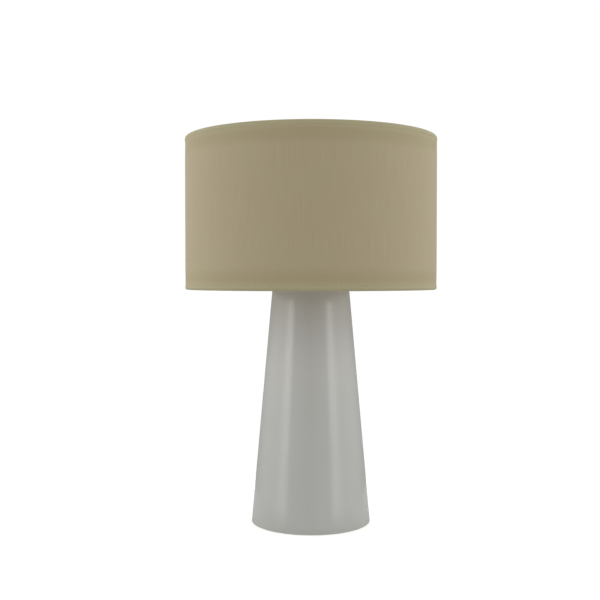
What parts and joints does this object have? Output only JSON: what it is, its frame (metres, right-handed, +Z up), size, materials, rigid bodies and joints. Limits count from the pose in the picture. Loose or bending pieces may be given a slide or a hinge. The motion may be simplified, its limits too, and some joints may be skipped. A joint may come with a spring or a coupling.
{
  "type": "table lamp with shade",
  "caption": "Table lamp with a tall tapered glazed ceramic base and a wide fabric drum shade held on a wire harp over a bulb and rotary-switch lampholder.",
  "frame": {"origin": "centre of the felt face that rests on the table", "axes": "+Z up along the lamp's axis, -Y the front, where the switch knob points, +Y the back, where the cord leaves, X along the harp's plane"},
  "size_m": [0.4, 0.4, 0.6294],
  "materials": {
    "felt": "matt felt",
    "zinc": "zinc plated",
    "glaze": "glossy pale grey glaze",
    "bushing": "moulded nylon",
    "gasket": "soft",
    "nickel": "brushed nickel plate",
    "shell": "satin nickel plate",
    "fibre": "insulating fibre",
    "phenolic": "moulded phenolic",
    "brass": "bright",
    "cap_metal": "drawn",
    "knob": "moulded, satin",
    "bulb_black": "vitrite",
    "bulb_white": "white",
    "bulb_opal": "frosted opal",
    "board_white": "white solder mask",
    "led": "phosphor",
    "board_green": "solder mask",
    "liner": "white styrene",
    "cloth": "slubbed weave, khaki",
    "white_wire": "powder coat"
  },
  "bodies": {
    "base": {"felt_pad": "felt", "bottom_plate": "zinc", "bottom_washer": "zinc", "bottom_nut": "zinc", "lamp_tube": "zinc", "ceramic_body": "glaze", "cord_bushing": "bushing", "top_gasket": "gasket", "vase_cap": "nickel", "neck": "nickel", "neck_nut": "zinc", "harp_saddle": "nickel", "socket_cap": "shell", "socket_set_screw": "zinc", "socket_shell": "shell", "socket_insulator": "fibre", "socket_body": "phenolic", "terminal_screws": "brass", "screw_shell": "cap_metal", "centre_contact": "brass"},
    "switch": {"switch_rotor": "phenolic", "switch_shaft": "brass", "switch_knob": "knob"},
    "bulb_tip": {"bulb_tip_contact": "brass"},
    "bulb": {"bulb_cap_insulator": "bulb_black", "bulb_screw_cap": "cap_metal", "bulb_housing": "bulb_white", "bulb_globe": "bulb_opal", "led_board": "board_white", "led_chips": "led", "led_driver_board": "board_green"},
    "harp": {"harp_wire": "nickel", "harp_crown": "nickel"},
    "ferrule_left": {"harp_ferrule_left": "nickel"},
    "ferrule_right": {"harp_ferrule_right": "nickel"},
    "shade": {"shade_liner": "liner", "shade_fabric": "cloth", "shade_top_ring": "white_wire", "shade_bottom_ring": "white_wire", "shade_top_hem": "cloth", "shade_bottom_hem": "cloth", "spider_arms": "white_wire", "spider_washer": "white_wire"},
    "finial_seat": {"finial_washer": "nickel"},
    "finial": {"finial": "nickel"}
  },
  "joints": [
    {"name": "switch_turn", "type": "hinge", "parent": "base", "child": "switch", "pos_m": [0, -0.02, 0.4417], "axis": [0, -1, 0], "continuous": true},
    {"name": "bulb_lift", "type": "slide", "parent": "base", "child": "bulb_tip", "axis": [0, 0, 1], "range_m": [0, 0.0145]},
    {"name": "bulb_turn", "type": "hinge", "parent": "bulb_tip", "child": "bulb", "pos_m": [0, 0, 0.5], "axis": [0, 0, 1], "range_deg": [0, 1440]},
    {"name": "harp_lift", "type": "slide", "parent": "base", "child": "harp", "axis": [0, 0, 1], "range_m": [0, 0.2]},
    {"name": "ferrule_left_lift", "type": "slide", "parent": "harp", "child": "ferrule_left", "axis": [0, 0, 1], "range_m": [0, 0.012]},
    {"name": "ferrule_right_lift", "type": "slide", "parent": "harp", "child": "ferrule_right", "axis": [0, 0, 1], "range_m": [0, 0.012]},
    {"name": "shade_turn", "type": "hinge", "parent": "harp", "child": "shade", "pos_m": [0, 0, 0.6], "axis": [0, 0, 1], "continuous": true},
    {"name": "finial_lift", "type": "slide", "parent": "harp", "child": "finial_seat", "axis": [0, 0, 1], "range_m": [0, 0.01034]},
    {"name": "finial_turn", "type": "hinge", "parent": "finial_seat", "child": "finial", "pos_m": [0, 0, 0.61], "axis": [0, 0, 1], "range_deg": [0, 3960]}
  ],
  "couplings": [
    {"joint": "bulb_turn", "follows": "bulb_lift", "rad_per_m": 1731.6},
    {"joint": "finial_turn", "follows": "finial_lift", "rad_per_m": 6679}
  ]
}
